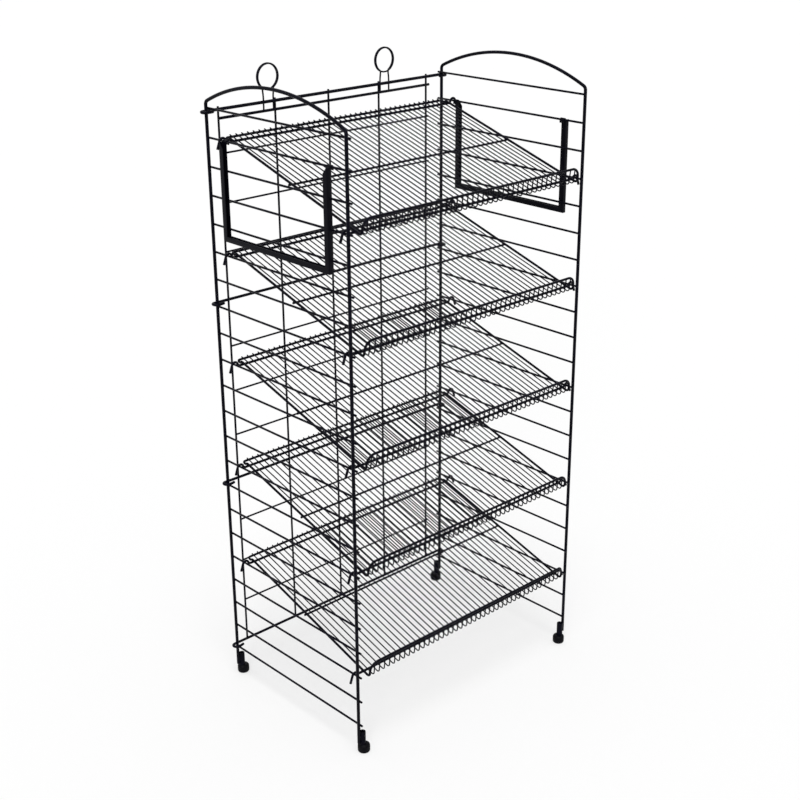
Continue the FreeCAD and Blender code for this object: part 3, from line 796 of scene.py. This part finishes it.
rim, wires, middle, welds = hung(rim_rod()), hung(deck_wires()), hung(mid_rod()), hung(shelf_welds())
rear_hooks = hook_rod(rear_hook_place, rung_level(REAR_RUNG), REAR_HOOK_DROP)
front_hooks = hook_rod(front_hook_place, rung_level(FRONT_RUNG), FRONT_HOOK_DROP)
for number in range(1, SHELF_COUNT + 1):
    shelf = "shelf_" + str(number)
    coated(shelf + "_rim_rod", lowered(rim, number), shelf)
    coated(shelf + "_mid_rod", lowered(middle, number), shelf)
    coated(shelf + "_rear_hook_rod", lowered(rear_hooks, number), shelf)
    coated(shelf + "_front_hook_rod", lowered(front_hooks, number), shelf)
    piece(shelf + "_wires_coated", lowered(wires, number), BLACK_COAT, "coated_wire", shelf,
          shelf + "_deck_wires", shelf + "_lip_wires")
    piece(shelf + "_welds", lowered(welds, number), BLACK_COAT, "coated_wire", shelf)

# ==============================================================================================
# SIGN HOLDERS
# A strip of sheet is folded to a channel, mitred to a U and hung on the second rung by two tabs
# that go over it.  A card slides down between its flanges.  It is sprayed in a duller black.
# ==============================================================================================

HOLDER_RUNG = 2
HOLDER_SHEET = 0.0012
HOLDER_FLANGE = 0.0105
HOLDER_FOLD_RADIUS = 0.001     # of the sheet's middle, at each fold
HOLDER_TAB_TAIL = 0.006
HOLDER_LEAD_IN_WIDTH = 0.009
HOLDER_LEAD_IN_HEIGHT = 0.011
HOLDER_DEPTH = 0.01
HOLDER_CUT_SPREAD = 0.02       # keeps the corners along the cut edge a little apart
SHEET_BLACK = (0.0018, 0.0018, 0.0046, 1)
SHEET_RUBBED = (0.0055, 0.0055, 0.0095, 1)
SHEET_SPECULAR = 0.06
SHEET_PEEL_DEPTH = 0.00005


def sheet_paint():
    """Sprayed black on sheet: a soft sheen, a low orange peel and a few rubbed patches."""
    material, place = empty_material("sprayed_black_sheet")
    patch = place.noise(scale=34, detail=4).between(0.4, 0.72)
    peel = place.noise(scale=480, detail=2)
    drawn_out = place.node("ShaderNodeMapping", {}, {"Vector": place, "Scale": (1, 1, 0.06)})
    streak = drawn_out.noise(scale=900, detail=3)
    rub = patch * streak.between(0.5, 0.75)
    colour = (patch * 0.4 + rub * 0.6).tint(SHEET_BLACK, SHEET_RUBBED)
    finish_material(place, {"Base Color": colour, "Roughness": 0.4 + patch * 0.08 + rub * 0.1,
                            "Specular IOR Level": SHEET_SPECULAR},
                    peel + streak * 0.2, SHEET_PEEL_DEPTH)
    return material


SHEET_PAINT = sheet_paint()


def sheet_outline(middle_line, axis):
    """Both faces of a folded sheet from the line midway: the line plus and minus half the
    thickness along axis x tangent."""
    tangents = unit(np.diff(middle_line, axis=0))
    tangents = unit(np.concatenate([tangents[:1], tangents[:-1] + tangents[1:], tangents[-1:]]))
    offset = HOLDER_SHEET / 2 * np.cross(axis, tangents)
    return middle_line + offset, middle_line - offset


def swept_sheet(first, second):
    """A closed sheet from the stacked outlines of its two faces, with ends between them."""
    stack = np.concatenate([first, second[:, ::-1]], axis=1)
    rings, count = stack.shape[:2]
    half = np.arange(count // 2 - 1)
    start = np.stack([half, half + 1, count - 2 - half, count - 1 - half], axis=-1)
    end = (start + (rings - 1) * count)[:, ::-1]
    return stack.reshape(-1, 3), [tube_faces(rings, count, False), start, end]


def channel(low, high):
    """The channel's C section, folded flange, web, flange, carried down the front arm, along the
    bottom and up the rear arm.  A section point p inside the web lies at p from the U's outline,
    so the corners are mitred, and the outer flange is cut back at the top as a lead-in."""
    web = HOLDER_SHEET / 2 + HOLDER_FOLD_RADIUS
    section = BentWire((HOLDER_SHEET / 2, HOLDER_FLANGE, 0), -REARWARD).feed(HOLDER_FLANGE - web)
    section.bend(HOLDER_FOLD_RADIUS, 90, UP).feed(HOLDER_DEPTH - 2 * web)
    section.bend(HOLDER_FOLD_RADIUS, 90, UP).feed(HOLDER_FLANGE - web)
    faces = []
    rung = rung_level(HOLDER_RUNG)
    near = high.x - HOLDER_DEPTH
    for face in sheet_outline(section.line(), UP):
        q, p = face[:, 0], face[:, 1]
        flange = (q > HOLDER_DEPTH / 2) & (p > 2 * HOLDER_SHEET)
        cut = np.where(flange, HOLDER_FLANGE - HOLDER_LEAD_IN_WIDTH + HOLDER_CUT_SPREAD * p, p)
        lead_in = rung - HOLDER_LEAD_IN_HEIGHT
        places = [(low.y + cut, rung), (low.y + p, lead_in), (low.y + p, low.z + p),
                  (high.y - p, low.z + p), (high.y - p, lead_in), (high.y - cut, rung)]
        faces.append(np.array([np.stack([near + q, y, z + 0 * q], axis=-1) for y, z in places]))
    return swept_sheet(*faces)


def tab(start, near):
    """A strip that goes up from the inner flange, over the rung and a little way down."""
    middle = near + HOLDER_SHEET / 2
    rung = rung_level(HOLDER_RUNG)
    path = BentWire((middle, start, rung), UP).bend(middle - rung_place, -180, REARWARD)
    faces = sheet_outline(path.feed(HOLDER_TAB_TAIL).line(), REARWARD)
    width = np.array([[[0, 0, 0]], [[0, HOLDER_FLANGE, 0]]])
    return swept_sheet(*[face[None] + width for face in faces])


def sign_holder():
    """The right side's channel with a tab at the top of each arm."""
    low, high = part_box("right_sign_holder")
    near = high.x - HOLDER_DEPTH
    return joined(channel(low, high), tab(low.y, near), tab(high.y - HOLDER_FLANGE, near))


holder = sign_holder()
for side, surface in (("right", holder), ("left", mirrored(holder))):
    node = side + "_sign_holder"
    piece(node + "_folded", surface, SHEET_PAINT, "coated_sheet", node, node)

# ==============================================================================================
# STUDIO
# A plain pale floor that keeps the rack's soft shadow, even light from above and the sides,
# and the camera, to the left of the rack's front and a little above its top.
# ==============================================================================================

CAMERA_PLACE = (-1.7572, -1.88903, 1.64393)
CAMERA_AZIMUTH = math.radians(-42.848)
CAMERA_ELEVATION = math.radians(22.038)
CAMERA_ROLL = math.radians(-0.411)
CAMERA_LENS = 62.293
CAMERA_SIGHT = 100
FLOOR_REACH = 60.0
FLOOR_GREY = 0.35
FLOOR_GLOW = 0.62
WORLD_LIGHT = 0.6
LAMP_HEIGHT = 3


def seen_or_mirrored(place):
    """1 for what the camera sees by itself, in a reflection or through glass, else 0."""
    rays = place.node("ShaderNodeLightPath", {}, {}).output.node.outputs
    straight, glossy, through = [Shade(place.tree, rays[name]) for name in
                                 ("Is Camera Ray", "Is Glossy Ray", "Is Transmission Ray")]
    return place.maths("MAXIMUM", place.maths("MAXIMUM", straight, glossy), through)


def studio_floor():
    """About a third of the floor's white is lit and keeps the shadow, and the rest glows."""
    material, place = empty_material("pale_floor")
    lit = place.node("ShaderNodeBsdfDiffuse", {}, {"Color": (FLOOR_GREY, FLOOR_GREY, FLOOR_GREY, 1)})
    glow = place.node("ShaderNodeEmission", {}, {"Strength": seen_or_mirrored(place) * FLOOR_GLOW})
    both = place.node("ShaderNodeAddShader", {}, {0: lit, 1: glow})
    place.node("ShaderNodeOutputMaterial", {}, {"Surface": both})
    corners = [(x * FLOOR_REACH, y * FLOOR_REACH, 0) for x, y in ((-1, -1), (1, -1), (1, 1), (-1, 1))]
    mesh = bpy.data.meshes.new("floor")
    mesh.from_pydata(corners, [], [(0, 1, 2, 3)])
    mesh.materials.append(material)
    floor = bpy.data.objects.new("floor", mesh)
    bpy.context.scene.collection.objects.link(floor)


def studio_world(light):
    """Even light of this strength, which looks white to the camera and in reflections."""
    world = bpy.data.worlds.new("studio")
    world.use_nodes = True
    world.node_tree.nodes.clear()
    start = Shade(world.node_tree)
    strength = seen_or_mirrored(start) * (1 - light) + light
    shader = start.node("ShaderNodeBackground", {}, {"Color": (1, 1, 1, 1), "Strength": strength})
    start.node("ShaderNodeOutputWorld", {}, {"Surface": shader})
    bpy.context.scene.world = world


def stand(made, directions, place):
    """Puts a lamp or the camera at a place, with its right, up and back along the directions."""
    made.matrix_world = [[*direction, 0] for direction in directions] + [[*place, 1]]
    bpy.context.scene.collection.objects.link(made)


def soft_light(name, towards, strength, spread):
    """Even light that comes from one side all over the floor, soft by the angle of its spread."""
    light = bpy.data.lights.new(name, "SUN")
    light.energy = strength
    light.angle = math.radians(spread)
    back = unit(np.array(towards))
    right = unit(np.cross(UP, back))
    stand(bpy.data.objects.new(name, light), (right, np.cross(back, right), back), (0, 0, LAMP_HEIGHT))


def studio_camera():
    """Right, up and back from the azimuth and the elevation, and then turned by the roll."""
    azimuth, elevation = CAMERA_AZIMUTH, CAMERA_ELEVATION
    back = np.array([math.sin(azimuth) * math.cos(elevation),
                     -math.cos(azimuth) * math.cos(elevation), math.sin(elevation)])
    level = unit(np.cross(UP, back))
    rise = np.cross(back, level)
    right = level * math.cos(CAMERA_ROLL) + rise * math.sin(CAMERA_ROLL)
    up = rise * math.cos(CAMERA_ROLL) - level * math.sin(CAMERA_ROLL)
    data = bpy.data.cameras.new("camera")
    data.lens = CAMERA_LENS
    data.clip_end = CAMERA_SIGHT
    camera = bpy.data.objects.new("camera", data)
    stand(camera, (right, up, back), CAMERA_PLACE)
    bpy.context.scene.camera = camera


studio_floor()
studio_world(WORLD_LIGHT)
soft_light("overhead", towards=(-0.18, -0.22, 1.0), strength=1.3, spread=24)
soft_light("left_front", towards=(-2.8, -2.2, 1.5), strength=0.8, spread=16)
studio_camera()
bpy.context.scene.view_settings.view_transform = "Standard"
